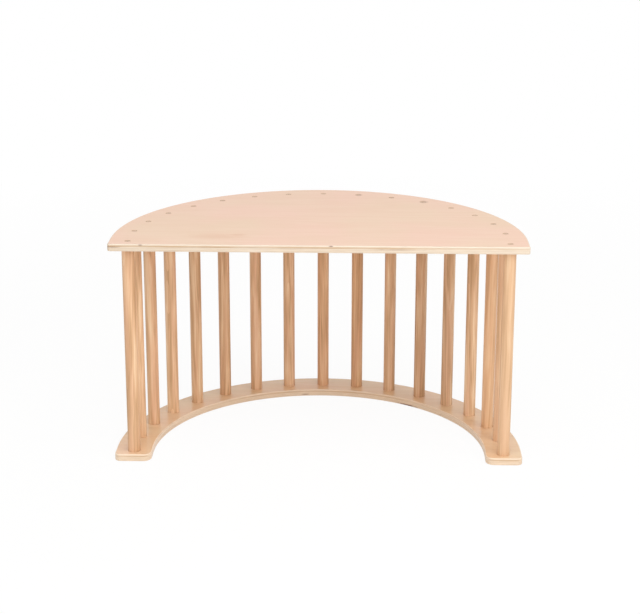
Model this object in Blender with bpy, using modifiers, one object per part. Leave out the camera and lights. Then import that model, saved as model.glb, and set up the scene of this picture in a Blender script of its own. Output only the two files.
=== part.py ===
"""Half-round rocker: a half-disc board and an arch-shaped base, joined by a ring of round dowels.

Every dowel end sits in a blind socket in a panel, and a countersunk screw through the panel
draws it tight. The piece stands on its base with +Z up and its straight side facing -Y.
The origin is on the floor under the middle of its outline. Lengths are in metres.
"""

import math

import bmesh
import bpy
from mathutils import Matrix, Vector

# Outline of the board and the base
OUTER_RADIUS = 0.415
BASE_BAND = 0.074
STRAIGHT_RUN = 0.045
BOARD_CORNER = 0.005
FOOT_OUTER_CORNER = 0.011
FOOT_INNER_CORNER = 0.017

# Heights and thicknesses
HEIGHT = 0.460
PLY = 0.015
EDGE_ROUND = 0.002

# Dowels and the sockets that hold them
DOWEL_COUNT = 17
DOWEL_PITCH = math.radians(11.65)
DOWEL_RADIUS = 0.0125
SOCKET_DEPTH = 0.005

# Countersunk wood screws, 5 by 50 mm
SCREW_LENGTH = 0.050
SCREW_HEAD_RADIUS = 0.0048
SCREW_HEAD_RIM = 0.0004
SCREW_CORE_RADIUS = 0.0017
SCREW_POINT = 0.004
CLEARANCE_HOLE_RADIUS = 0.0026
PILOT_SPARE_DEPTH = 0.001

# Space left between pieces that touch
GAP = 0.0003

# How finely round shapes are cut
OUTER_ARC_STEPS = 60
INNER_ARC_STEPS = 48
CORNER_STEPS = 4
EDGE_ROUND_STEPS = 2
DOWEL_SIDES = 20
SCREW_SIDES = 12
PILOT_SIDES = 8

# Cutters reach this far past the faces they open
OVERCUT = 0.001
WELD_DISTANCE = 0.00001
FLAT_ANGLE = math.radians(0.5)
SHARP_ANGLE = math.radians(32)
BEVEL_ANGLE = math.radians(60)

# Worked out from the sizes above
INNER_RADIUS = OUTER_RADIUS - BASE_BAND
RING_RADIUS = (OUTER_RADIUS + INNER_RADIUS) / 2
ARC_CENTRE = Vector((0, (STRAIGHT_RUN - OUTER_RADIUS) / 2, 0))
DOWEL_LENGTH = HEIGHT - 2 * (PLY - SOCKET_DEPTH + GAP)
SOCKET_RADIUS = DOWEL_RADIUS + GAP
PILOT_RADIUS = (SCREW_CORE_RADIUS + GAP) / math.cos(math.pi / PILOT_SIDES)
PILOT_DEPTH = SCREW_LENGTH - (PLY - SOCKET_DEPTH) + PILOT_SPARE_DEPTH


def new_collection(name, parent):
    collection = bpy.data.collections.new(name)
    parent.children.link(collection)
    return collection


def new_material(name, colour, roughness, metallic=0.0):
    """A material whose colour is given in linear RGB."""
    material = bpy.data.materials.new(name)
    material.use_nodes = True
    shader = material.node_tree.nodes["Principled BSDF"]
    shader.inputs["Base Color"].default_value = (*colour, 1)
    shader.inputs["Roughness"].default_value = roughness
    shader.inputs["Metallic"].default_value = metallic
    material.diffuse_color = (*colour, 1)
    return material


def place(name, data, collection, parent, location, rotation=(0, 0, 0)):
    """An object for a mesh or a curve, placed under its parent."""
    piece = bpy.data.objects.new(name, data)
    collection.objects.link(piece)
    piece.parent = parent
    piece.location = location
    piece.rotation_euler = rotation
    return piece


def arc(centre, radius, start, end, steps):
    """Points along an arc between two angles in degrees, both ends included."""
    points = []
    for step in range(steps + 1):
        angle = math.radians(start + (end - start) * step / steps)
        points.append(centre + radius * Vector((math.cos(angle), math.sin(angle), 0)))
    return points


def outer_corner(side, radius):
    """The rounded front corner on the outer edge: side is -1 on the left and 1 on the right."""
    centre = Vector((side * (OUTER_RADIUS - radius), radius - STRAIGHT_RUN, 0))
    start = 180 if side < 0 else 270
    return arc(centre, radius, start, start + 90, CORNER_STEPS)


def inner_corner(side, radius):
    """The rounded front corner where a foot meets the inner edge of the arch."""
    centre = Vector((side * (INNER_RADIUS + radius), radius - STRAIGHT_RUN, 0))
    start = 270 if side < 0 else 180
    return arc(centre, radius, start, start + 90, CORNER_STEPS)


def board_outline():
    """A half circle whose sides run straight on to the front edge."""
    points = arc(Vector(), OUTER_RADIUS, 0, 180, OUTER_ARC_STEPS)
    points += outer_corner(-1, BOARD_CORNER)
    points += outer_corner(1, BOARD_CORNER)
    return points


def base_outline():
    """The same outline with the middle taken out, which leaves an arch on two feet."""
    points = arc(Vector(), OUTER_RADIUS, 0, 180, OUTER_ARC_STEPS)
    points += outer_corner(-1, FOOT_OUTER_CORNER)
    points += inner_corner(-1, FOOT_INNER_CORNER)
    points += arc(Vector(), INNER_RADIUS, 180, 0, INNER_ARC_STEPS)
    points += inner_corner(1, FOOT_INNER_CORNER)
    points += outer_corner(1, FOOT_OUTER_CORNER)
    return points


def baked_mesh(piece, name):
    """The mesh that an object's modifiers leave."""
    bpy.context.view_layer.update()
    depsgraph = bpy.context.evaluated_depsgraph_get()
    mesh = bpy.data.meshes.new_from_object(piece.evaluated_get(depsgraph))
    mesh.name = name
    return mesh


def smooth_round_faces(mesh):
    mesh.shade_smooth()
    mesh.set_sharp_from_angle(angle=SHARP_ANGLE)


def panel_blank(name, outline, collection, parent, height):
    """A sheet of plywood sawn to the outline, with its underside at the given height."""
    curve = bpy.data.curves.new(name, "CURVE")
    curve.dimensions = "2D"
    curve.fill_mode = "BOTH"
    curve.extrude = PLY / 2
    spline = curve.splines.new("POLY")
    spline.points.add(len(outline) - 1)
    for point, corner in zip(spline.points, outline):
        point.co = (*corner, 1)
    spline.use_cyclic_u = True
    sawn = place(name + "_outline", curve, collection, parent, (0, 0, height + PLY / 2))

    mesh = baked_mesh(sawn, name)
    shape = bmesh.new()
    shape.from_mesh(mesh)
    bmesh.ops.remove_doubles(shape, verts=shape.verts, dist=WELD_DISTANCE)
    bmesh.ops.dissolve_limit(shape, angle_limit=FLAT_ANGLE, verts=shape.verts, edges=shape.edges)
    bmesh.ops.recalc_face_normals(shape, faces=shape.faces)
    shape.to_mesh(mesh)
    shape.free()
    panel = place(name, mesh, collection, parent, sawn.location)
    bpy.data.objects.remove(sawn)
    bpy.data.curves.remove(curve)
    return panel


def round_edges(panel):
    """Router both rims of a panel to a quarter round."""
    bevel = panel.modifiers.new("round_over", "BEVEL")
    bevel.limit_method = "ANGLE"
    bevel.angle_limit = BEVEL_ANGLE
    bevel.width = EDGE_ROUND
    bevel.segments = EDGE_ROUND_STEPS


def drill(piece, cutters):
    """Take every cutter in a collection away from a piece."""
    cut = piece.modifiers.new("drill", "BOOLEAN")
    cut.operation = "DIFFERENCE"
    cut.operand_type = "COLLECTION"
    cut.collection = cutters
    cut.solver = "EXACT"


def keep_modifiers(piece):
    """Make a piece's modifiers its mesh, and shade it."""
    mesh = baked_mesh(piece, piece.name)
    blank = piece.data
    piece.modifiers.clear()
    piece.data = mesh
    bpy.data.meshes.remove(blank)
    smooth_round_faces(mesh)


def turned_mesh(name, profile, steps):
    """A profile of (radius, height) points, top to bottom, turned about the Z axis."""
    mesh = bpy.data.meshes.new(name)
    edges = [(i, i + 1) for i in range(len(profile) - 1)]
    mesh.from_pydata([(radius, 0, height) for radius, height in profile], edges, [])
    lathe = bpy.data.objects.new(name, mesh)
    bpy.context.scene.collection.objects.link(lathe)
    turn = lathe.modifiers.new("turn", "SCREW")
    turn.steps = steps
    turn.render_steps = steps
    turn.use_merge_vertices = True
    turn.merge_threshold = WELD_DISTANCE
    turned = baked_mesh(lathe, name)
    bpy.data.objects.remove(lathe)
    bpy.data.meshes.remove(mesh)
    return turned


def cylinder_mesh(name, radius, bottom, top, sides):
    mesh = bpy.data.meshes.new(name)
    shape = bmesh.new()
    bmesh.ops.create_cone(
        shape,
        cap_ends=True,
        segments=sides,
        radius1=radius,
        radius2=radius,
        depth=top - bottom,
        matrix=Matrix.Translation((0, 0, (top + bottom) / 2)),
    )
    shape.to_mesh(mesh)
    shape.free()
    return mesh


def screw_hole_profile():
    """A screw hole seen in section, drilled down from a face at height 0 into the socket."""
    # The head's 45 degree cone, moved out by the gap, keeps radius plus depth the same all along
    cone = SCREW_HEAD_RADIUS + SCREW_HEAD_RIM + GAP + GAP * math.sqrt(2)
    mouth_radius = SCREW_HEAD_RADIUS + GAP
    floor = PLY - SOCKET_DEPTH + OVERCUT
    return [
        (0, OVERCUT),
        (mouth_radius, OVERCUT),
        (mouth_radius, mouth_radius - cone),
        (CLEARANCE_HOLE_RADIUS, CLEARANCE_HOLE_RADIUS - cone),
        (CLEARANCE_HOLE_RADIUS, -floor),
        (0, -floor),
    ]


def screw_profile():
    """A screw seen in section, with the top of its head at height 0 and its point below."""
    neck = SCREW_HEAD_RIM + SCREW_HEAD_RADIUS - SCREW_CORE_RADIUS
    return [
        (0, 0),
        (SCREW_HEAD_RADIUS, 0),
        (SCREW_HEAD_RADIUS, -SCREW_HEAD_RIM),
        (SCREW_CORE_RADIUS, -neck),
        (SCREW_CORE_RADIUS, SCREW_POINT - SCREW_LENGTH),
        (0, -SCREW_LENGTH),
    ]


def dowel_mesh(cutters):
    """A dowel standing on height 0, with a pilot hole up each end for its screws."""
    mesh = cylinder_mesh("dowel", DOWEL_RADIUS, 0, DOWEL_LENGTH, DOWEL_SIDES)
    blank = bpy.data.objects.new("dowel_blank", mesh)
    bpy.context.scene.collection.objects.link(blank)
    upper_hole = (DOWEL_LENGTH - PILOT_DEPTH, DOWEL_LENGTH + OVERCUT)
    lower_hole = (-OVERCUT, PILOT_DEPTH)
    for name, (bottom, top) in (("upper_pilot", upper_hole), ("lower_pilot", lower_hole)):
        bit = cylinder_mesh(name, PILOT_RADIUS, bottom, top, PILOT_SIDES)
        hide_cutter(place(name, bit, cutters, None, (0, 0, 0)))
    drill(blank, cutters)
    drilled = baked_mesh(blank, "dowel")
    bpy.data.objects.remove(blank)
    bpy.data.meshes.remove(mesh)
    smooth_round_faces(drilled)
    return drilled


def hide_cutter(cutter):
    cutter.hide_render = True
    cutter.display_type = "WIRE"


def dowel_places():
    """The number, plan position and turn of each dowel, from the left front one round to the right."""
    middle = (DOWEL_COUNT - 1) / 2
    for number in range(DOWEL_COUNT):
        turn = math.pi / 2 + (middle - number) * DOWEL_PITCH
        position = RING_RADIUS * Vector((math.cos(turn), math.sin(turn), 0))
        yield number + 1, position, turn


def lay_out_cutters(sockets, holes, frame):
    """At each dowel, one cutter for its two sockets and one for each of its two screw holes."""
    low = PLY - SOCKET_DEPTH
    socket = cylinder_mesh("socket", SOCKET_RADIUS, low, HEIGHT - low, DOWEL_SIDES)
    hole = turned_mesh("screw_hole", screw_hole_profile(), SCREW_SIDES)
    for number, position, turn in dowel_places():
        hide_cutter(place(f"sockets_{number:02d}", socket, sockets, frame, position, (0, 0, turn)))
        top = position + Vector((0, 0, HEIGHT))
        hide_cutter(place(f"top_hole_{number:02d}", hole, holes, frame, top, (0, 0, turn)))
        hide_cutter(place(f"base_hole_{number:02d}", hole, holes, frame, position, (math.pi, 0, turn)))


def build_panels(collection, sockets, holes, frame):
    """The half-round board on top and the arch under it, both rounded over and drilled."""
    board_plywood = new_material("board_varnished_plywood", (0.82, 0.64, 0.48), 0.42)
    base_plywood = new_material("base_varnished_plywood", (0.75, 0.54, 0.37), 0.45)
    panels = (
        ("top_board", board_outline(), HEIGHT - PLY, board_plywood),
        ("base_arch", base_outline(), 0, base_plywood),
    )
    for name, outline, height, material in panels:
        panel = panel_blank(name, outline, collection, frame, height)
        round_edges(panel)
        drill(panel, sockets)
        drill(panel, holes)
        keep_modifiers(panel)
        panel.data.materials.append(material)


def build_dowels(collection, pilots, frame):
    """Seventeen alike dowels, each standing in its two sockets."""
    mesh = dowel_mesh(pilots)
    mesh.materials.append(new_material("varnished_pine", (0.70, 0.47, 0.29), 0.48))
    foot = Vector((0, 0, PLY - SOCKET_DEPTH + GAP))
    for number, position, turn in dowel_places():
        place(f"dowel_{number:02d}", mesh, collection, frame, position + foot, (0, 0, turn))


def build_screws(collection, frame):
    """A screw down through the board and one up through the base at every dowel."""
    mesh = turned_mesh("screw", screw_profile(), SCREW_SIDES)
    mesh.materials.append(new_material("zinc_plated_steel", (0.42, 0.38, 0.34), 0.35, 1.0))
    smooth_round_faces(mesh)
    for number, position, turn in dowel_places():
        top = position + Vector((0, 0, HEIGHT - GAP))
        bottom = position + Vector((0, 0, GAP))
        place(f"top_screw_{number:02d}", mesh, collection, frame, top, (0, 0, turn))
        place(f"base_screw_{number:02d}", mesh, collection, frame, bottom, (math.pi, 0, turn))


def main():
    for piece in list(bpy.data.objects):
        bpy.data.objects.remove(piece)
    rocker = new_collection("rocker_board", bpy.context.scene.collection)
    cutters = new_collection("cutters", bpy.context.scene.collection)
    sockets = new_collection("socket_cutters", cutters)
    holes = new_collection("screw_hole_cutters", cutters)
    pilots = new_collection("pilot_hole_cutters", cutters)

    frame = bpy.data.objects.new("arc_centre", None)
    rocker.objects.link(frame)
    frame.location = ARC_CENTRE

    lay_out_cutters(sockets, holes, frame)
    build_panels(rocker, sockets, holes, frame)
    build_dowels(rocker, pilots, frame)
    build_screws(rocker, frame)


main()
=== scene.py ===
"""Half-round rocker board: a half-disc board and an arch-shaped base joined by a ring of dowels.

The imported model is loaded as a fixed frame, and every piece of it gets its finished counterpart:
plywood panels with routed rims, screw holes and sockets, pine dowels, and threaded screws with a
cross recess. Lengths are in metres, +Z is up and the straight side faces -Y. Dowels and screws are
numbered from the left foot round the back to the right foot.
"""

import math
import random

import bmesh
import bpy
from bpy.props import FloatProperty, FloatVectorProperty, PointerProperty
from mathutils import Matrix, Vector


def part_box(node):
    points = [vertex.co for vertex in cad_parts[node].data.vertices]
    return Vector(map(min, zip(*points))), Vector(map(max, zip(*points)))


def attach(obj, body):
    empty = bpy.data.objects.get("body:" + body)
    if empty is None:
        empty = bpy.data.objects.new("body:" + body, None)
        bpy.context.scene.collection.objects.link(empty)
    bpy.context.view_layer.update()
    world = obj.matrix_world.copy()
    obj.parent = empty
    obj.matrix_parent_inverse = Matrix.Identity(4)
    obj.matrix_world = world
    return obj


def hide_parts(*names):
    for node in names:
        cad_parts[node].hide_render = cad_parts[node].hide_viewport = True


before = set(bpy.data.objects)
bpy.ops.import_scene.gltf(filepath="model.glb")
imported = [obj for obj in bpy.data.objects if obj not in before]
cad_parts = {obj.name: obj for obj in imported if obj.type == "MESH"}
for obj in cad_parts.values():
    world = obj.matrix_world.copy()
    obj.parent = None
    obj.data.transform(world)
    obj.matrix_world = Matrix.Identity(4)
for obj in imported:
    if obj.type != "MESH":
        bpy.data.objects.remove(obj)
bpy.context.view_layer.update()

bl_info = {
    "name": "Half-round rocker board",
    "version": (1, 0, 0),
    "blender": (4, 5, 0),
    "location": "3D View > Sidebar > Rocker board",
    "description": "Models the panels, dowels and screws of a half-round rocker board",
    "category": "Object",
}

# Read from the frame
BOARD_LOW, BOARD_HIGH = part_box("top_board")
BASE_LOW, BASE_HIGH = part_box("base_arch")
DOWELS = sorted(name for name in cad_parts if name.startswith("dowel_"))
TOP_SCREWS = sorted(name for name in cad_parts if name.startswith("top_screw_"))
BASE_SCREWS = sorted(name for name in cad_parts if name.startswith("base_screw_"))

# Worked out from the frame: the half circle's radius and centre, and the sheet's thickness
OUTER_RADIUS = (BOARD_HIGH.x - BOARD_LOW.x) / 2
ARC_CENTRE_Y = BOARD_HIGH.y - OUTER_RADIUS
STRAIGHT_RUN = ARC_CENTRE_Y - BOARD_LOW.y
PLY = BASE_HIGH.z - BASE_LOW.z

# Joinery. Each countersink is one 90 degree cone, which makes it 11.85 mm wide at the face. That is
# 1.65 mm wider than in the frame, because the marks in the photograph are as wide.
SOCKET_DEPTH = 0.005
SOCKET_RADIUS = 0.0128
CLEARANCE_RADIUS = 0.0026
CONE_DEPTH = 0.003324
PILOT_RADIUS = 0.002
PILOT_DEPTH = 0.041
# How far a cutting tool stands out of the face that it cuts
OVERCUT = 0.001

# Where the seven plies meet, as a share of the thickness from the underside
PLY_LINES = (0.0, 0.14, 0.26, 0.38, 0.48, 0.60, 0.83, 1.0)
# A glue line fades out 0.18 mm to each side, which is wider than a real one so that it shows
GLUE_HALF = 0.012

# The wood of each dowel, by number: how much lighter, how much warmer and how strongly figured
DOWEL_WOODS = {
    1: (0.99, 0.01, 1.0),
    2: (1.07, -0.02, 0.8),
    3: (1.01, 0.0, 1.0),
    4: (1.14, -0.04, 1.0),
    5: (0.98, -0.01, 1.0),
    6: (0.96, 0.0, 1.0),
    7: (1.06, -0.03, 1.0),
    8: (1.09, -0.04, 1.0),
    9: (0.96, 0.02, 1.0),
    10: (0.91, 0.04, 1.0),
    11: (1.03, -0.03, 1.0),
    12: (0.86, 0.01, 1.0),
    13: (0.92, -0.02, 1.0),
    14: (1.08, -0.04, 1.0),
    15: (0.98, 0.03, 0.65),
    16: (1.09, -0.02, 0.7),
    17: (1.01, -0.02, 0.5),
}

# Weight and roughness of the varnish: the board is rubbed down to satin, the base keeps its gloss
BOARD_VARNISH = (0.3, 0.35)
BASE_VARNISH = (0.8, 0.22)

# Marks in the wood: middle, half lengths and strength of each. The board has a flame on the left of
# its face and a darker mark round the tenth and the twelfth screw. Its front edge has two knots, an
# open joint at the left end, two darker lines and a pale stretch on the right. The base has a long
# dark mark along the bottom of its inner edge, and one open joint in it.
BOARD_FLAMES = (
    ((-0.206, -0.168, 0.46), (0.075, 0.026, 0.01), 0.27),
    ((-0.162, -0.152, 0.46), (0.022, 0.010, 0.01), 0.3),
)
# Darker marks on the face round the tenth and the twelfth screw
BOARD_SCREW_MARKS = (
    ((0.0780, 0.1850, 0.46), (0.0090, 0.012, 0.01), 0.55),
    ((0.2185, 0.1265, 0.46), (0.0115, 0.014, 0.01), 0.5),
)
BOARD_EDGE_MARKS = (
    ((-0.3496, -0.23, 0.4582), (0.0055, 0.003, 0.0022), 0.55),
    ((0.0251, -0.23, 0.4590), (0.0055, 0.003, 0.0020), 0.8),
    ((-0.406, -0.229, 0.4541), (0.020, 0.006, 0.0012), 0.95),
    ((0.155, -0.23, 0.4528), (0.065, 0.003, 0.0007), 0.6),
    ((-0.12, -0.23, 0.4545), (0.30, 0.003, 0.0006), 0.45),
)
BOARD_PALE_STRETCHES = (((0.34, -0.23, 0.4525), (0.22, 0.02, 0.03), 0.5),)
BASE_EDGE_MARKS = (
    # The first mark darkens a long stretch along the bottom of the inner edge
    ((0.1905, 0.0985, 0.002), (0.034, 0.024, 0.0026), 0.95),
    ((-0.0385, 0.154, 0.0040), (0.012, 0.004, 0.0014), 0.85),
)

# How finely round shapes are cut
OUTLINE_SIDES = 256
ROUND_SEGMENTS = 5
CORNER_SEGMENTS = 8
DOWEL_SIDES = 48
HOLE_SIDES = 32
SCREW_SIDES = 32
THREAD_SIDES = 16

# Faces that meet flatter than the first angle are shaded as one, and edges sharper than the second
# one are rims to rout
SMOOTH_ANGLE = math.radians(30)
RIM_ANGLE = math.radians(60)
# Lengths that differ by less than NEAR count as equal, and corners closer than WELD become one
NEAR = 0.00002
WELD = 0.000002

# Details of a screw: height of the head's rim, length and tip of the point, depth of the thread's
# root in the core, half its width there, where it starts above the tip, and its turns
HEAD_RIM = 0.0004
POINT_LENGTH = 0.004
TIP_RADIUS = 0.0002
ROOT_DEPTH = 0.0003
ROOT_HALF = 0.0007
THREAD_START = 0.0045
THREAD_TURNS = 13
# The thread starts a little past an edge of the core, so that the edges of the two never meet
THREAD_PAST = math.radians(4)
# How much of its width an arm of the recess keeps at the bottom
RECESS_TAPER = 0.45

# The floor lies just under the feet. To the camera it is almost white up to FADE_START from the
# object's middle, and plain white from FADE_END on.
FLOOR_SIZE = 24
FLOOR_MIDDLE = (0, 6, -0.0004)
FADE_START = 1.0
FADE_END = 2.4
FADE_LEAST = 0.93
# Place and width of each lamp, and the point that all of them face
LAMPS = (
    ("high_lamp", (0.2, -1.6, 3.0), 3.0),
    ("front_lamp", (0.2, -3.4, 1.1), 1.2),
    ("right_lamp", (2.4, -1.5, 1.5), 1.0),
)
LAMP_TARGET = Vector((0, 0, 0.25))
# The camera, fitted to the photograph: place, turns about Z, X and Z in radians, lens and shift
CAMERA_PLACE = (0.0835, -3.3483, 1.3364)
CAMERA_HEADING = 0.0256
CAMERA_TILT = math.pi / 2 - 0.2867
CAMERA_ROLL = 0.0011
CAMERA_LENS = 93.17
CAMERA_SENSOR = 36
CAMERA_SHIFT = -0.0625


def linear(hex_colour):
    """An sRGB hex colour as linear red, green and blue."""
    channels = [int(hex_colour[i : i + 2], 16) / 255 for i in (0, 2, 4)]
    return tuple(c / 12.92 if c <= 0.04045 else ((c + 0.055) / 1.055) ** 2.4 for c in channels)


def colour_property(name, description, hex_colour):
    """A setting for a colour."""
    return FloatVectorProperty(
        name=name,
        description=description,
        default=linear(hex_colour),
        subtype="COLOR",
        size=3,
        min=0,
        max=1,
    )


def length_property(name, description, metres):
    """A setting for a length."""
    return FloatProperty(name=name, description=description, default=metres, min=0, unit="LENGTH")


def power_property(name, description, watts):
    """A setting for the power of a lamp."""
    return FloatProperty(name=name, description=description, default=watts, min=0, unit="POWER")


class PanelSettings(bpy.types.PropertyGroup):
    """Sizes and colours of the two plywood panels."""

    edge_round: length_property("Rim radius", "Radius of the routed rims", 0.002)
    base_band: length_property("Base width", "Width of the arch-shaped base", 0.074)
    board_corner: length_property("Board corner", "Radius of the board's front corners", 0.005)
    foot_outer: length_property("Foot outer corner", "Outer corner radius of the feet", 0.011)
    foot_inner: length_property("Foot inner corner", "Inner corner radius of the feet", 0.017)
    board_light: colour_property("Board face, light", "Pale veneer of the board", "EACAB5")
    board_dark: colour_property("Board face, dark", "Figure in the veneer of the board", "E4C0A7")
    base_light: colour_property("Base face, light", "Pale veneer of the base", "EACAA8")
    base_dark: colour_property("Base face, dark", "Figure in the veneer of the base", "DFB992")
    flame: colour_property("Flame", "Darker flame in the veneer", "CF9C74")
    board_long: colour_property("Board edge, long grain", "Plies sawn along the grain", "E2D2BE")
    board_end: colour_property("Board edge, end grain", "Plies sawn across the grain", "C6A682")
    base_long: colour_property("Base edge, long grain", "Plies sawn along the grain", "ECD6BD")
    base_end: colour_property("Base edge, end grain", "Plies sawn across the grain", "CFAF8C")
    glue: colour_property("Glue line", "Thin lines between the plies", "B39270")
    knot: colour_property("Knot", "Knots, open joints and stains", "7A5240")
    drilled: colour_property("Drilled wood", "Walls of the holes and sockets", "C6A582")


class DowelSettings(bpy.types.PropertyGroup):
    """Sizes and colours of the dowels."""

    radius: length_property("Radius", "Radius of a dowel", 0.0125)
    chamfer: length_property("Chamfer", "Broken edge at each end of a dowel", 0.0006)
    early_wood: colour_property("Early wood", "Pale flames between growth rings", "EECFAA")
    tan_wood: colour_property("Tan wood", "Wood between the pale and the brown flames", "DDB38B")
    late_wood: colour_property("Late wood", "Brown flames and growth rings", "B48B62")
    warm_wood: colour_property("Warm wood", "Pinker patches", "DEAD8C")


class ScrewSettings(bpy.types.PropertyGroup):
    """Sizes and colour of the countersunk screws."""

    length: length_property("Length", "Overall length of a screw", 0.050)
    head_radius: length_property("Head radius", "Radius of the countersunk head", 0.0048)
    core_radius: length_property("Core radius", "Radius of the shank under the thread", 0.0017)
    thread_radius: length_property("Thread radius", "Radius over the thread", 0.0025)
    thread_pitch: length_property("Thread pitch", "Rise of the thread in one turn", 0.0025)
    recess_span: length_property("Recess span", "Width across the cross recess", 0.0050)
    recess_slot: length_property("Recess slot", "Width of one arm of the recess", 0.0011)
    recess_depth: length_property("Recess depth", "Depth of the cross recess", 0.0026)
    plating: colour_property("Plating", "Colour of the zinc plating", "DFC0A6")


class StageSettings(bpy.types.PropertyGroup):
    """The floor, the lamps and the camera."""

    floor_colour: colour_property("Floor", "Colour of the studio floor", "F7F6F4")
    high_power: power_property("High lamp", "Power of the wide lamp above the front", 50)
    front_power: power_property("Front lamp", "Power of the lamp beside the camera", 17)
    right_power: power_property("Right lamp", "Power of the small lamp on the right", 14.5)
    sky_strength: FloatProperty(
        name="Room light",
        description="Strength of the even light of the room",
        default=0.62,
        min=0,
        subtype="FACTOR",
    )


class RockerSettings(bpy.types.PropertyGroup):
    """All settings of the rocker board."""

    panels: PointerProperty(type=PanelSettings)
    dowels: PointerProperty(type=DowelSettings)
    screws: PointerProperty(type=ScrewSettings)
    stage: PointerProperty(type=StageSettings)


def middle(name):
    """The middle of a CAD node's box."""
    low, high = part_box(name)
    return (low + high) / 2


def edit_all():
    """Open the active piece for editing, with all of it selected."""
    bpy.ops.object.mode_set(mode="EDIT")
    bpy.ops.mesh.select_all(action="SELECT")


def start(name):
    """Name the primitive just added, move its place into its mesh and open it for editing."""
    piece = bpy.context.object
    piece.name = name
    piece.data.name = name
    bpy.ops.object.transform_apply(location=True, rotation=True, scale=True)
    edit_all()
    return piece


def pick(kind, test):
    """In edit mode, select only the vertices, edges or faces that pass a test."""
    bpy.ops.mesh.select_mode(type=kind)
    bpy.ops.mesh.select_all(action="DESELECT")
    mesh = bpy.context.edit_object.data
    shape = bmesh.from_edit_mesh(mesh)
    parts = {"VERT": shape.verts, "EDGE": shape.edges, "FACE": shape.faces}[kind]
    picked = [part for part in parts if test(part)]
    if not picked:
        raise RuntimeError(f"nothing to select on {bpy.context.edit_object.name}")
    for part in picked:
        part.select_set(True)
    shape.select_flush_mode()
    bmesh.update_edit_mesh(mesh)


def push(offset):
    """Extrude what is selected by an offset."""
    bpy.ops.mesh.extrude_region_move(TRANSFORM_OT_translate={"value": offset})


def close(piece):
    """Turn the faces outwards, leave edit mode and make sure that the piece is closed."""
    bpy.ops.mesh.select_all(action="SELECT")
    bpy.ops.mesh.normals_make_consistent(inside=False)
    bpy.ops.object.mode_set(mode="OBJECT")
    shape = bmesh.new()
    shape.from_mesh(piece.data)
    is_open = any(len(edge.link_faces) != 2 for edge in shape.edges)
    shape.free()
    if is_open:
        raise RuntimeError(f"{piece.name} isn't closed")


def activate(piece):
    """Select one piece and make it the active one."""
    bpy.ops.object.select_all(action="DESELECT")
    piece.select_set(True)
    bpy.context.view_layer.objects.active = piece


def turn(name, profile, sides):
    """Draw a disc out along Z through steps of radius and height, into one closed round piece."""
    radius, height = profile[0]
    bpy.ops.object.select_all(action="DESELECT")
    bpy.ops.mesh.primitive_circle_add(
        vertices=sides, radius=radius, fill_type="NGON", location=(0, 0, height)
    )
    piece = start(name)
    for next_radius, next_height in profile[1:]:
        push((0, 0, next_height - height))
        ratio = next_radius / radius
        bpy.ops.transform.resize(value=(ratio, ratio, 1), center_override=(0, 0, next_height))
        radius, height = next_radius, next_height
    close(piece)
    return piece


def copy_to(pattern, name, matrix):
    """A copy of a piece with its own mesh, moved by a matrix."""
    piece = pattern.copy()
    piece.data = pattern.data.copy()
    piece.name = name
    piece.data.name = name
    piece.data.transform(matrix)
    bpy.context.scene.collection.objects.link(piece)
    return piece


def join(pieces):
    """Make several pieces one object."""
    activate(pieces[0])
    for piece in pieces:
        piece.select_set(True)
    bpy.ops.object.join()
    return pieces[0]


def combine(piece, tool, operation):
    """Cut a tool out of a piece, or add it to the piece, and weld the slivers along the seams."""
    activate(piece)
    bpy.ops.object.modifier_add(type="BOOLEAN")
    step = piece.modifiers[-1]
    step.operation = operation
    step.solver = "EXACT"
    step.use_self = True
    step.object = tool
    bpy.ops.object.modifier_apply(modifier=step.name)
    bpy.data.objects.remove(tool)
    edit_all()
    bpy.ops.mesh.remove_doubles(threshold=WELD)
    close(piece)


def shade(piece):
    """Smooth the round faces and keep the flat ones flat."""
    activate(piece)
    bpy.ops.object.shade_smooth_by_angle(angle=SMOOTH_ANGLE)
    bpy.ops.object.modifier_add(type="WEIGHTED_NORMAL")
    step = piece.modifiers[-1]
    step.keep_sharp = True
    bpy.ops.object.modifier_apply(modifier=step.name)


def stand_for(piece, node):
    """The piece stands in for a CAD node: the node is hidden, and the piece joins the root body."""
    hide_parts(node)
    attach(piece, "root")


def add_node(tree, kind, inputs=None, stops=None, **settings):
    """Add a shader node with its settings, set or link its inputs, and give back its outputs.

    Sockets that share a name go by number: on a mix node 0 is the factor, 2 and 3 are the numbers
    that it mixes, and 6 and 7 the colours.
    """
    node = tree.nodes.new("ShaderNode" + kind)
    for name, value in settings.items():
        setattr(node, name, value)
    if stops:
        elements = node.color_ramp.elements
        elements.remove(elements[-1])
        elements[0].position, elements[0].color = stops[0]
        for position, colour in stops[1:]:
            elements.new(position).color = colour
    for socket, value in (inputs or {}).items():
        if isinstance(value, bpy.types.NodeSocket):
            tree.links.new(value, node.inputs[socket])
        else:
            node.inputs[socket].default_value = value
    return node.outputs


def new_material(name):
    """An empty material, and its node tree."""
    material = bpy.data.materials.new(name)
    material.use_nodes = True
    material.node_tree.nodes.clear()
    return material, material.node_tree


def blot(tree, place, centre, radii):
    """1 in the middle of an oval mark and 0 outside it, its border ragged along the grain."""
    # The border's teeth are about 3 mm wide and 14 mm long
    grain_place = add_node(tree, "Mapping", {"Vector": place, "Scale": (70, 300, 300)})["Vector"]
    ragged = add_node(tree, "TexNoise", {"Vector": grain_place, "Scale": 1, "Detail": 2})["Fac"]
    local = add_node(
        tree,
        "Mapping",
        {"Vector": place, "Location": centre, "Scale": radii},
        vector_type="TEXTURE",
    )["Vector"]
    # It fades from about a third of the half lengths outwards, and ends near the full ones
    away = add_node(tree, "VectorMath", {0: local}, operation="LENGTH")["Value"]
    away = add_node(tree, "Math", {0: ragged, 1: 0.8, 2: away}, operation="MULTIPLY_ADD")[0]
    return add_node(
        tree,
        "MapRange",
        {"Value": away, "From Min": 0.7, "From Max": 1.4, "To Min": 1.0, "To Max": 0.0},
    )["Result"]


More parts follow.
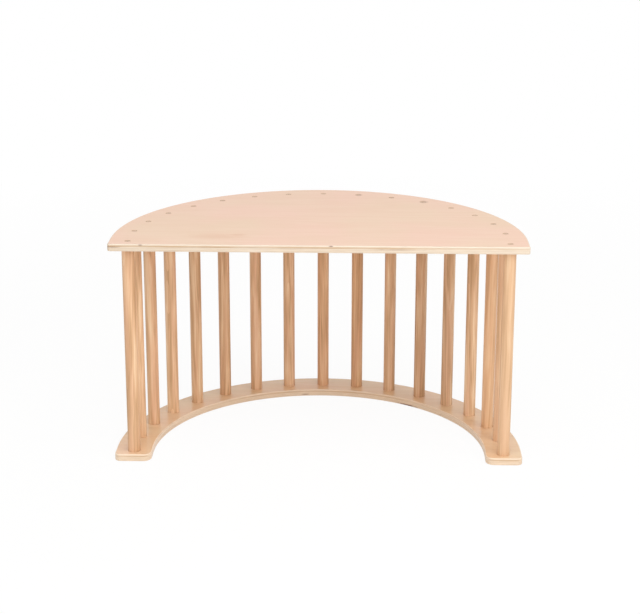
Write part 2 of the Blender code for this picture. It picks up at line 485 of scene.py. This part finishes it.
def mark(tree, tone, place, centre, radii, strength, colour):
    """Lay an oval mark over a tone."""
    amount = blot(tree, place, centre, radii)
    amount = add_node(tree, "Math", {0: amount, 1: strength}, operation="MULTIPLY")[0]
    return add_node(tree, "Mix", {0: amount, 6: tone, 7: (*colour, 1)}, data_type="RGBA")[2]


def plywood_face(name, settings, light, dark, coat, flames=(), screw_marks=()):
    """Rotary-cut birch veneer, sanded and varnished: pale and nearly even, with a faint figure."""
    material, tree = new_material(name)
    place = add_node(tree, "TexCoord")["Object"]
    # The figure runs along X in bands about 20 mm apart and 200 mm long
    figure_place = add_node(tree, "Mapping", {"Vector": place, "Scale": (1.6, 16, 16)})["Vector"]
    figure = add_node(
        tree, "TexNoise", {"Vector": figure_place, "Scale": 1.5, "Detail": 3, "Distortion": 0.4}
    )["Fac"]
    rings = add_node(tree, "Math", {0: figure, 1: 30.0}, operation="MULTIPLY")[0]
    bands = add_node(tree, "Math", {0: rings}, operation="SINE")[0]
    bands = add_node(
        tree,
        "MapRange",
        {"Value": bands, "From Min": -1, "From Max": 1, "To Min": 0.4, "To Max": 0.6},
    )["Result"]
    # The pores are strokes about 2 mm wide and 60 mm long, wider than real ones so that they show
    pore_place = add_node(tree, "Mapping", {"Vector": place, "Scale": (16, 480, 480)})["Vector"]
    pores = add_node(tree, "TexNoise", {"Vector": pore_place, "Scale": 1.0, "Detail": 2})["Fac"]
    mixed = add_node(tree, "Mix", {0: 0.35, 2: bands, 3: pores})[0]
    # The varnish is a little yellower here and pinker there, in patches about 170 mm across
    wash = add_node(tree, "TexNoise", {"Vector": place, "Scale": 6.0, "Detail": 2})["Fac"]
    tone = add_node(
        tree, "ValToRGB", {"Fac": mixed}, stops=[(0.28, (*light, 1)), (0.72, (*dark, 1))]
    )["Color"]
    pink, yellow = (1.0, 0.965, 0.975, 1), (0.965, 1.0, 0.955, 1)
    tint = add_node(tree, "ValToRGB", {"Fac": wash}, stops=[(0.35, pink), (0.65, yellow)])["Color"]
    tone = add_node(
        tree, "Mix", {0: 1.0, 6: tone, 7: tint}, data_type="RGBA", blend_type="MULTIPLY"
    )[2]
    # Lay on the flames, and the darker marks round the tenth and the twelfth screw
    for marks, colour in ((flames, settings.flame), (screw_marks, settings.knot)):
        for centre, radii, strength in marks:
            tone = mark(tree, tone, place, centre, radii, strength, colour)
    bump = add_node(
        tree, "Bump", {"Height": pores, "Strength": 0.12, "Distance": 0.0002}
    )["Normal"]
    shader = add_node(
        tree,
        "BsdfPrincipled",
        {
            "Base Color": tone,
            "Roughness": 0.6,
            "IOR": 1.45,
            "Normal": bump,
            "Coat Weight": coat[0],
            "Coat Roughness": coat[1],
            "Coat IOR": 1.5,
        },
    )["BSDF"]
    add_node(tree, "OutputMaterial", {"Surface": shader})
    return material


def drilled_plywood(name, settings):
    """Walls cut by a drill and left bare: rougher and browner than the varnished faces."""
    material, tree = new_material(name)
    place = add_node(tree, "TexCoord")["Object"]
    # The bit leaves torn fibres about 1 mm across
    torn = add_node(tree, "TexNoise", {"Vector": place, "Scale": 900, "Detail": 3})["Fac"]
    darker = tuple(0.7 * channel for channel in settings.drilled)
    tone = add_node(
        tree, "ValToRGB", {"Fac": torn}, stops=[(0.3, (*darker, 1)), (0.7, (*settings.drilled, 1))]
    )["Color"]
    bump = add_node(tree, "Bump", {"Height": torn, "Strength": 0.3, "Distance": 0.0003})["Normal"]
    shader = add_node(
        tree,
        "BsdfPrincipled",
        {"Base Color": tone, "Roughness": 0.85, "IOR": 1.45, "Normal": bump},
    )["BSDF"]
    add_node(tree, "OutputMaterial", {"Surface": shader})
    return material


def plywood_edge(name, settings, long_grain, end_grain, bottom, marks, pale_stretches=()):
    """The routed and varnished edge of seven-ply: plies by turns along and across the grain."""
    material, tree = new_material(name)
    coordinates = add_node(tree, "TexCoord")
    place = coordinates["Object"]
    height = add_node(tree, "SeparateXYZ", {0: place})["Z"]
    # The plies wander by about half a millimetre along the edge
    wander = add_node(tree, "TexNoise", {"Vector": place, "Scale": 9, "Detail": 3})["Fac"]
    wander = add_node(
        tree, "MapRange", {"Value": wander, "To Min": -0.0009, "To Max": 0.0009}
    )["Result"]
    height = add_node(tree, "Math", {0: height, 1: wander}, operation="ADD")[0]
    layer = add_node(
        tree, "MapRange", {"Value": height, "From Min": bottom, "From Max": bottom + PLY}
    )["Result"]
    # The seven plies from below, as they look on the straight side and at the ends of the arc
    light, dark, glue = ((*c, 1) for c in (long_grain, end_grain, settings.glue))
    middling = tuple((a + b) / 2 for a, b in zip(light, dark))
    along = (light, middling, light, middling, light, dark, light)
    across = (middling, light, dark, light, middling, light, middling)
    ramps = []
    for tones in (along, across):
        stops = []
        for ply, tone in enumerate(tones):
            stops.append((PLY_LINES[ply] + (GLUE_HALF if ply else 0), tone))
            stops.append((PLY_LINES[ply + 1] - GLUE_HALF, tone))
            if ply < len(tones) - 1:
                stops.append((PLY_LINES[ply + 1], glue))
        ramps.append(add_node(tree, "ValToRGB", {"Fac": layer}, stops=stops)["Color"])
    # Towards the sides the plies swap, because the long grain runs along X
    sideways = add_node(tree, "SeparateXYZ", {0: coordinates["Normal"]})["X"]
    sideways = add_node(tree, "Math", {0: sideways, 1: sideways}, operation="MULTIPLY")[0]
    plies_tone = add_node(
        tree, "Mix", {0: sideways, 6: ramps[0], 7: ramps[1]}, data_type="RGBA"
    )[2]
    # Here and there, in patches about 140 mm long, the varnish hides the plies
    clear = add_node(tree, "TexNoise", {"Vector": place, "Scale": 7, "Detail": 2})["Fac"]
    clear = add_node(
        tree, "MapRange", {"Value": clear, "From Min": 0.35, "From Max": 0.6, "To Min": 0.5}
    )["Result"]
    tone = add_node(tree, "Mix", {0: clear, 6: light, 7: plies_tone}, data_type="RGBA")[2]
    for centre, radii, strength in pale_stretches:
        tone = mark(tree, tone, place, centre, radii, strength, long_grain)
    # Sawn fibres lie along the edge, in streaks about 1 mm high and 30 mm long, coarser than real
    # ones so that they show
    fibre_place = add_node(tree, "Mapping", {"Vector": place, "Scale": (34, 34, 900)})["Vector"]
    fibres = add_node(tree, "TexNoise", {"Vector": fibre_place, "Scale": 1, "Detail": 3})["Fac"]
    shift = add_node(
        tree,
        "MapRange",
        {"Value": fibres, "From Min": 0.3, "From Max": 0.7, "To Min": 0.92, "To Max": 1.05},
    )["Result"]
    tone = add_node(
        tree, "Mix", {0: 1.0, 6: tone, 7: shift}, data_type="RGBA", blend_type="MULTIPLY"
    )[2]
    for centre, radii, strength in marks:
        tone = mark(tree, tone, place, centre, radii, strength, settings.knot)
    bump = add_node(
        tree, "Bump", {"Height": fibres, "Strength": 0.15, "Distance": 0.0003}
    )["Normal"]
    shader = add_node(
        tree,
        "BsdfPrincipled",
        {
            "Base Color": tone,
            "Roughness": 0.6,
            "IOR": 1.45,
            "Normal": bump,
            "Coat Weight": 0.4,
            "Coat Roughness": 0.3,
            "Coat IOR": 1.5,
        },
    )["BSDF"]
    add_node(tree, "OutputMaterial", {"Surface": shader})
    return material


def oiled_pine(name, settings, axis, number):
    """Pine turned to a rod, sanded and oiled: long flames of pale and brown wood run down it."""
    lighter, warmer, strength = DOWEL_WOODS[number]
    material, tree = new_material(name)
    # The growth rings lean a little and run round a pith that lies 20 to 50 mm from the rod's axis
    draw = random.Random(number)
    bearing = draw.uniform(0, math.tau)
    away = draw.uniform(0.02, 0.05)
    pith = axis + away * Vector((math.cos(bearing), math.sin(bearing), 0))
    lean = (math.radians(draw.uniform(-1.5, 1.5)), math.radians(draw.uniform(-1.5, 1.5)), 0)
    place = add_node(tree, "TexCoord")["Object"]
    centred = add_node(tree, "Mapping", {"Vector": place, "Location": -pith})["Vector"]
    leant = add_node(tree, "Mapping", {"Vector": centred, "Rotation": lean})["Vector"]
    # Flames about 8 mm wide and 150 mm long, where the rod cuts slanting growth rings
    flame_place = add_node(tree, "Mapping", {"Vector": leant, "Scale": (125, 125, 6.5)})["Vector"]
    flames = add_node(
        tree, "TexNoise", {"Vector": flame_place, "Scale": 1, "Detail": 1.5, "Distortion": 0.5}
    )["Fac"]
    flames = add_node(
        tree, "MapRange", {"Value": flames, "From Min": 0.34, "From Max": 0.66}
    )["Result"]
    # Growth rings about 5 mm apart, with a thin dark line each
    rings = add_node(
        tree,
        "TexWave",
        {"Vector": leant, "Scale": 62, "Distortion": 3.0, "Detail": 1, "Detail Scale": 0.3},
        wave_type="RINGS",
        rings_direction="Z",
        wave_profile="SAW",
    )["Fac"]
    # Fibres about 2 mm wide and 110 mm long, coarser than real ones so that they show
    fibre_place = add_node(tree, "Mapping", {"Vector": leant, "Scale": (480, 480, 9)})["Vector"]
    fibres = add_node(tree, "TexNoise", {"Vector": fibre_place, "Scale": 1, "Detail": 2})["Fac"]
    mixed = add_node(tree, "Mix", {0: 0.28, 2: flames, 3: rings})[0]
    mixed = add_node(tree, "Mix", {0: 0.25, 2: mixed, 3: fibres})[0]
    # Each tone goes towards tan in a faintly figured dowel, and then takes the dowel's own colour
    filters = (lighter * (1 + warmer), lighter, lighter * (1 - warmer))
    tones = []
    for wood in (settings.early_wood, settings.tan_wood, settings.late_wood, settings.warm_wood):
        channels = zip(filters, settings.tan_wood, wood)
        tones.append((*(min(1.0, f * (t + strength * (w - t))) for f, t, w in channels), 1))
    early, tan, late, warm = tones
    tone = add_node(
        tree, "ValToRGB", {"Fac": mixed}, stops=[(0.12, early), (0.42, tan), (0.88, late)]
    )["Color"]
    # Patches of pinker wood about 15 mm wide and 200 mm long
    warm_place = add_node(tree, "Mapping", {"Vector": leant, "Scale": (70, 70, 5)})["Vector"]
    warmth = add_node(tree, "TexNoise", {"Vector": warm_place, "Scale": 1, "Detail": 1})["Fac"]
    warmth = add_node(
        tree, "MapRange", {"Value": warmth, "From Min": 0.45, "From Max": 0.7, "To Max": 0.5}
    )["Result"]
    tone = add_node(tree, "Mix", {0: warmth, 6: tone, 7: warm}, data_type="RGBA")[2]
    bump = add_node(
        tree, "Bump", {"Height": fibres, "Strength": 0.12, "Distance": 0.0002}
    )["Normal"]
    shader = add_node(
        tree,
        "BsdfPrincipled",
        {
            "Base Color": tone,
            "Roughness": 0.65,
            "IOR": 1.45,
            "Normal": bump,
            "Coat Weight": 0.1,
            "Coat Roughness": 0.35,
            "Coat IOR": 1.5,
        },
    )["BSDF"]
    add_node(tree, "OutputMaterial", {"Surface": shader})
    return material


def zinc_plate(settings):
    """Zinc-plated steel with a yellowish tint, pressed and rolled: dull, with an uneven gloss."""
    material, tree = new_material("zinc_plated_steel")
    place = add_node(tree, "TexCoord")["Object"]
    # Duller and brighter spots about 1 mm across
    mottle = add_node(tree, "TexNoise", {"Vector": place, "Scale": 900, "Detail": 2})["Fac"]
    gloss = add_node(tree, "MapRange", {"Value": mottle, "To Min": 0.3, "To Max": 0.5})["Result"]
    darker = tuple(0.7 * channel for channel in settings.plating)
    tone = add_node(
        tree,
        "ValToRGB",
        {"Fac": mottle},
        stops=[(0.3, (*darker, 1)), (0.7, (*settings.plating, 1))],
    )["Color"]
    shader = add_node(
        tree, "BsdfPrincipled", {"Base Color": tone, "Metallic": 1.0, "Roughness": gloss}
    )["BSDF"]
    add_node(tree, "OutputMaterial", {"Surface": shader})
    return material


def near(a, b):
    """Whether two lengths are equal."""
    return abs(a - b) < NEAR


def whole_disc(name, bottom):
    """Start a panel as a whole disc, open for editing, and give its centre."""
    centre = Vector((0, ARC_CENTRE_Y, bottom))
    bpy.ops.object.select_all(action="DESELECT")
    bpy.ops.mesh.primitive_circle_add(
        vertices=OUTLINE_SIDES, radius=OUTER_RADIUS, fill_type="NGON", location=centre
    )
    return start(name), centre


def cut_in_half(centre):
    """Throw away the front half of what is selected, and draw its cut edges out to the front."""

    def is_cut(edge):
        return all(near(vert.co.y, centre.y) for vert in edge.verts)

    bpy.ops.mesh.bisect(plane_co=centre, plane_no=(0, 1, 0), clear_inner=True)
    pick("EDGE", is_cut)
    push((0, -STRAIGHT_RUN, 0))
    pick("EDGE", is_cut)
    bpy.ops.mesh.dissolve_edges(use_verts=False)


def round_corner(test, radius):
    """Round the outline's corners that pass a test."""
    pick("VERT", lambda vert: near(vert.co.y, BOARD_LOW.y) and test(abs(vert.co.x)))
    bpy.ops.mesh.bevel(offset=radius, segments=CORNER_SEGMENTS, affect="VERTICES")


def is_rim(edge):
    """Whether a level edge lies between a flat face and the wall round it."""
    level = near(edge.verts[0].co.z, edge.verts[1].co.z)
    return level and edge.calc_face_angle() > RIM_ANGLE


def thicken(settings):
    """Give the outline the sheet's thickness and rout its rims."""
    bpy.ops.mesh.select_mode(type="FACE")
    bpy.ops.mesh.select_all(action="SELECT")
    push((0, 0, PLY))
    bpy.ops.mesh.select_all(action="SELECT")
    bpy.ops.mesh.normals_make_consistent(inside=False)
    pick("EDGE", is_rim)
    bpy.ops.mesh.bevel(offset=settings.edge_round, segments=ROUND_SEGMENTS, affect="EDGES")


def drill(panel, outer_face, inwards):
    """Drill all screw holes from the outer face, and all dowel sockets from the inner one.

    The inner face is above the outer one where inwards is 1, and below it where inwards is -1.
    """
    through = PLY - SOCKET_DEPTH + OVERCUT
    hole = turn(
        "hole",
        [
            (CLEARANCE_RADIUS + CONE_DEPTH + OVERCUT, -OVERCUT),
            (CLEARANCE_RADIUS, CONE_DEPTH),
            (CLEARANCE_RADIUS, through),
        ],
        HOLE_SIDES,
    )
    socket = turn(
        "socket",
        [(SOCKET_RADIUS, PLY - SOCKET_DEPTH), (SOCKET_RADIUS, PLY + OVERCUT)],
        DOWEL_SIDES,
    )
    flip = Matrix.Rotation(math.pi, 4, "X") if inwards < 0 else Matrix()
    for pattern in (socket, hole):
        tools = []
        for name in DOWELS:
            centre = middle(name)
            centre.z = outer_face
            tools.append(copy_to(pattern, "drill_" + name, Matrix.Translation(centre) @ flip))
        bpy.data.objects.remove(pattern)
        combine(panel, join(tools), "DIFFERENCE")


def finish_panel(panel, face, edge, drilled):
    """Shade a panel, and give its flat faces, its sawn edges and its holes a material each."""
    shade(panel)
    for material in (face, edge, drilled):
        panel.data.materials.append(material)
    heights = [vert.co.z for vert in panel.data.vertices]
    bottom, top = min(heights), max(heights)
    axes = [middle(name).xy for name in DOWELS]
    for polygon in panel.data.polygons:
        centre = polygon.center
        if near(centre.z, bottom) or near(centre.z, top):
            polygon.material_index = 0
        elif all((centre.xy - axis).length >= SOCKET_RADIUS + NEAR for axis in axes):
            polygon.material_index = 1
        else:
            polygon.material_index = 2


class ROCKER_OT_add_top_board(bpy.types.Operator):
    """Model the half-round board"""

    bl_idname = "rocker.add_top_board"
    bl_label = "Top board"

    def execute(self, context):
        settings = context.scene.rocker.panels
        board, centre = whole_disc("half_round_board", BOARD_LOW.z)
        cut_in_half(centre)
        round_corner(lambda x: near(x, OUTER_RADIUS), settings.board_corner)
        thicken(settings)
        close(board)
        drill(board, BOARD_HIGH.z, -1)
        face = plywood_face(
            "board_varnished_birch_veneer",
            settings,
            settings.board_light,
            settings.board_dark,
            BOARD_VARNISH,
            BOARD_FLAMES,
            BOARD_SCREW_MARKS,
        )
        edge = plywood_edge(
            "board_sawn_plywood_edge",
            settings,
            settings.board_long,
            settings.board_end,
            BOARD_LOW.z,
            BOARD_EDGE_MARKS,
            BOARD_PALE_STRETCHES,
        )
        drilled = drilled_plywood("board_drilled_plywood", settings)
        finish_panel(board, face, edge, drilled)
        stand_for(board, "top_board")
        return {"FINISHED"}


class ROCKER_OT_add_base_arch(bpy.types.Operator):
    """Model the arch-shaped base on its two feet"""

    bl_idname = "rocker.add_base_arch"
    bl_label = "Base arch"

    def execute(self, context):
        settings = context.scene.rocker.panels
        base, centre = whole_disc("arch_base", BASE_LOW.z)
        inner_radius = OUTER_RADIUS - settings.base_band
        bpy.ops.mesh.inset(thickness=settings.base_band)
        bpy.ops.mesh.delete(type="FACE")
        bpy.ops.mesh.select_all(action="SELECT")
        cut_in_half(centre)
        round_corner(lambda x: near(x, OUTER_RADIUS), settings.foot_outer)
        round_corner(lambda x: near(x, inner_radius), settings.foot_inner)
        thicken(settings)
        close(base)
        drill(base, BASE_LOW.z, 1)
        face = plywood_face(
            "base_varnished_birch_veneer",
            settings,
            settings.base_light,
            settings.base_dark,
            BASE_VARNISH,
        )
        edge = plywood_edge(
            "base_sawn_plywood_edge",
            settings,
            settings.base_long,
            settings.base_end,
            BASE_LOW.z,
            BASE_EDGE_MARKS,
        )
        drilled = drilled_plywood("base_drilled_plywood", settings)
        finish_panel(base, face, edge, drilled)
        stand_for(base, "base_arch")
        return {"FINISHED"}


class ROCKER_OT_add_dowels(bpy.types.Operator):
    """Model the ring of dowels"""

    bl_idname = "rocker.add_dowels"
    bl_label = "Dowels"

    def execute(self, context):
        settings = context.scene.rocker.dowels
        low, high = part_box(DOWELS[0])
        shoulder = settings.radius - settings.chamfer
        profile = [
            (PILOT_RADIUS, low.z + PILOT_DEPTH),
            (PILOT_RADIUS, low.z),
            (shoulder, low.z),
            (settings.radius, low.z + settings.chamfer),
            (settings.radius, high.z - settings.chamfer),
            (shoulder, high.z),
            (PILOT_RADIUS, high.z),
            (PILOT_RADIUS, high.z - PILOT_DEPTH),
        ]
        pattern = turn("dowel", profile, DOWEL_SIDES)
        shade(pattern)
        for number, name in enumerate(DOWELS, 1):
            axis = middle(name)
            axis.z = 0
            dowel = copy_to(pattern, f"pine_{name}", Matrix.Translation(axis))
            dowel.data.materials.append(
                oiled_pine(f"oiled_pine_{number:02d}", settings, axis, number)
            )
            stand_for(dowel, name)
        bpy.data.objects.remove(pattern)
        return {"FINISHED"}


class ROCKER_OT_add_screws(bpy.types.Operator):
    """Model the countersunk screws, from above and from below"""

    bl_idname = "rocker.add_screws"
    bl_label = "Screws"

    def execute(self, context):
        settings = context.scene.rocker.screws
        pattern = self.shank(settings)
        combine(pattern, self.thread(settings), "UNION")
        combine(pattern, self.recess(settings), "DIFFERENCE")
        shade(pattern)
        pattern.data.materials.append(zinc_plate(settings))
        draw = random.Random(5)
        for names, turned_over in ((TOP_SCREWS, False), (BASE_SCREWS, True)):
            for name in names:
                low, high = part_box(name)
                place = (low + high) / 2
                place.z = low.z if turned_over else high.z
                matrix = Matrix.Translation(place)
                if turned_over:
                    matrix @= Matrix.Rotation(math.pi, 4, "X")
                matrix @= Matrix.Rotation(draw.uniform(0, math.tau), 4, "Z")
                screw = copy_to(pattern, "zinc_" + name, matrix)
                stand_for(screw, name)
        bpy.data.objects.remove(pattern)
        return {"FINISHED"}

    def shank(self, settings):
        """The screw without its thread: point, core, cone under the head, and head."""
        neck = HEAD_RIM + settings.head_radius - settings.core_radius
        profile = [
            (TIP_RADIUS, -settings.length),
            (settings.core_radius, POINT_LENGTH - settings.length),
            (settings.core_radius, -neck),
            (settings.head_radius, -HEAD_RIM),
            (settings.head_radius, 0),
        ]
        return turn("screw", profile, SCREW_SIDES)

    def thread(self, settings):
        """A three-sided bead wound round the core, and closed at both ends."""
        bpy.ops.object.select_all(action="DESELECT")
        bpy.ops.mesh.primitive_circle_add(
            vertices=3, radius=ROOT_HALF, fill_type="NOTHING", rotation=(math.pi / 2, 0, 0)
        )
        bead = start("thread")
        shape = bmesh.from_edit_mesh(bead.data)
        root = settings.core_radius - ROOT_DEPTH
        bottom = THREAD_START - settings.length
        corners = (
            (root, bottom - ROOT_HALF),
            (settings.thread_radius, bottom),
            (root, bottom + ROOT_HALF),
        )
        for vert, (radius, height) in zip(shape.verts, corners):
            vert.co = (radius * math.cos(THREAD_PAST), radius * math.sin(THREAD_PAST), height)
        bmesh.update_edit_mesh(bead.data)
        bpy.ops.object.mode_set(mode="OBJECT")
        bpy.ops.object.modifier_add(type="SCREW")
        winding = bead.modifiers[-1]
        winding.screw_offset = settings.thread_pitch
        winding.iterations = THREAD_TURNS
        winding.steps = THREAD_SIDES
        bpy.ops.object.modifier_apply(modifier=winding.name)
        bpy.ops.object.mode_set(mode="EDIT")
        bpy.ops.mesh.select_all(action="DESELECT")
        bpy.ops.mesh.select_mode(type="EDGE")
        bpy.ops.mesh.select_non_manifold()
        bpy.ops.mesh.fill_holes(sides=4)
        close(bead)
        return bead

    def recess(self, settings):
        """Two crossed tapered slots that leave the cross recess in the head."""
        bottom = -settings.recess_depth
        slots = []
        for turned in (0, math.pi / 2):
            bpy.ops.object.select_all(action="DESELECT")
            bpy.ops.mesh.primitive_cube_add(
                size=1,
                location=(0, 0, (bottom + OVERCUT) / 2),
                rotation=(0, 0, turned),
                scale=(settings.recess_span, settings.recess_slot, OVERCUT - bottom),
            )
            slot = start("slot")
            pick("FACE", lambda face: near(face.calc_center_median().z, bottom))
            bpy.ops.transform.resize(
                value=(RECESS_TAPER, RECESS_TAPER, 1), center_override=(0, 0, bottom)
            )
            close(slot)
            slots.append(slot)
        return join(slots)


class ROCKER_OT_set_stage(bpy.types.Operator):
    """Lay the floor, hang the lamps and place the camera"""

    bl_idname = "rocker.set_stage"
    bl_label = "Stage"

    def execute(self, context):
        settings = context.scene.rocker.stage
        self.floor(settings)
        self.room(context, settings)
        self.lamps(context, settings)
        self.camera(context)
        context.scene.view_settings.view_transform = "Standard"
        return {"FINISHED"}

    def seen_directly(self, tree):
        """1 for what the camera, a mirror or a glass sees, and 0 for light that falls on things."""
        path = add_node(tree, "LightPath")
        seen = add_node(
            tree, "Math", {0: path["Is Camera Ray"], 1: path["Is Glossy Ray"]}, operation="ADD"
        )[0]
        return add_node(
            tree,
            "Math",
            {0: seen, 1: path["Is Transmission Ray"]},
            operation="ADD",
            use_clamp=True,
        )[0]

    def floor(self, settings):
        """Paper that keeps a faint shadow round the feet and turns to plain white further out."""
        bpy.ops.object.select_all(action="DESELECT")
        bpy.ops.mesh.primitive_plane_add(size=FLOOR_SIZE, location=FLOOR_MIDDLE)
        floor = start("studio_floor")
        bpy.ops.object.mode_set(mode="OBJECT")
        material, tree = new_material("matt_white_paper")
        paper = add_node(tree, "BsdfDiffuse", {"Color": (*settings.floor_colour, 1)})["BSDF"]
        white = add_node(tree, "Emission", {"Color": (1, 1, 1, 1), "Strength": 1.0})["Emission"]
        place = add_node(tree, "TexCoord")["Object"]
        away = add_node(tree, "VectorMath", {0: place}, operation="LENGTH")["Value"]
        whiteness = add_node(
            tree,
            "MapRange",
            {"Value": away, "From Min": FADE_START, "From Max": FADE_END, "To Min": FADE_LEAST},
        )["Result"]
        amount = add_node(
            tree, "Math", {0: self.seen_directly(tree), 1: whiteness}, operation="MULTIPLY"
        )[0]
        surface = add_node(tree, "MixShader", {0: amount, 1: paper, 2: white})[0]
        add_node(tree, "OutputMaterial", {"Surface": surface})
        floor.data.materials.append(material)

    def room(self, context, settings):
        """Even light from all round, and plain white wherever the camera looks past the object."""
        world = bpy.data.worlds.new("studio_room")
        context.scene.world = world
        world.use_nodes = True
        tree = world.node_tree
        tree.nodes.clear()
        light, white = (
            add_node(tree, "Background", {"Color": (1, 1, 1, 1), "Strength": strength})[0]
            for strength in (settings.sky_strength, 1.0)
        )
        seen = self.seen_directly(tree)
        surface = add_node(tree, "MixShader", {0: seen, 1: light, 2: white})[0]
        add_node(tree, "OutputWorld", {"Surface": surface})

    def lamps(self, context, settings):
        """Three round lamps, all turned towards the object."""
        powers = (settings.high_power, settings.front_power, settings.right_power)
        for (name, place, width), power in zip(LAMPS, powers):
            lamp = bpy.data.lights.new(name, "AREA")
            lamp.shape = "DISK"
            lamp.size = width
            lamp.energy = power
            holder = bpy.data.objects.new(name, lamp)
            holder.location = place
            facing = LAMP_TARGET - holder.location
            holder.rotation_euler = facing.to_track_quat("-Z", "Y").to_euler()
            context.scene.collection.objects.link(holder)

    def camera(self, context):
        """The photograph's camera."""
        lens = bpy.data.cameras.new("camera")
        lens.sensor_width = CAMERA_SENSOR
        lens.lens = CAMERA_LENS
        lens.shift_y = CAMERA_SHIFT
        camera = bpy.data.objects.new("camera", lens)
        context.scene.collection.objects.link(camera)
        camera.matrix_world = (
            Matrix.Translation(CAMERA_PLACE)
            @ Matrix.Rotation(CAMERA_HEADING, 4, "Z")
            @ Matrix.Rotation(CAMERA_TILT, 4, "X")
            @ Matrix.Rotation(CAMERA_ROLL, 4, "Z")
        )
        context.scene.camera = camera


class ROCKER_PT_pieces(bpy.types.Panel):
    """The pieces of the rocker board, and what can be changed on them"""

    bl_label = "Rocker board"
    bl_space_type = "VIEW_3D"
    bl_region_type = "UI"
    bl_category = "Rocker board"

    def draw(self, context):
        settings = context.scene.rocker
        groups = (
            (settings.panels, ("rocker.add_top_board", "rocker.add_base_arch")),
            (settings.dowels, ("rocker.add_dowels",)),
            (settings.screws, ("rocker.add_screws",)),
            (settings.stage, ("rocker.set_stage",)),
        )
        for group, operators in groups:
            box = self.layout.box()
            for name in group.bl_rna.properties.keys():
                if name not in ("rna_type", "name"):
                    box.prop(group, name)
            for operator in operators:
                box.operator(operator)


CLASSES = (
    PanelSettings,
    DowelSettings,
    ScrewSettings,
    StageSettings,
    RockerSettings,
    ROCKER_OT_add_top_board,
    ROCKER_OT_add_base_arch,
    ROCKER_OT_add_dowels,
    ROCKER_OT_add_screws,
    ROCKER_OT_set_stage,
    ROCKER_PT_pieces,
)


def register():
    """Add the classes and the settings."""
    for kind in CLASSES:
        bpy.utils.register_class(kind)
    bpy.types.Scene.rocker = PointerProperty(type=RockerSettings)


def unregister():
    """Take the settings and the classes away again."""
    del bpy.types.Scene.rocker
    for kind in reversed(CLASSES):
        bpy.utils.unregister_class(kind)


def main():
    """Build all pieces and the stage."""
    register()
    bpy.ops.rocker.add_top_board()
    bpy.ops.rocker.add_base_arch()
    bpy.ops.rocker.add_dowels()
    bpy.ops.rocker.add_screws()
    bpy.ops.rocker.set_stage()


if __name__ == "__main__":
    main()
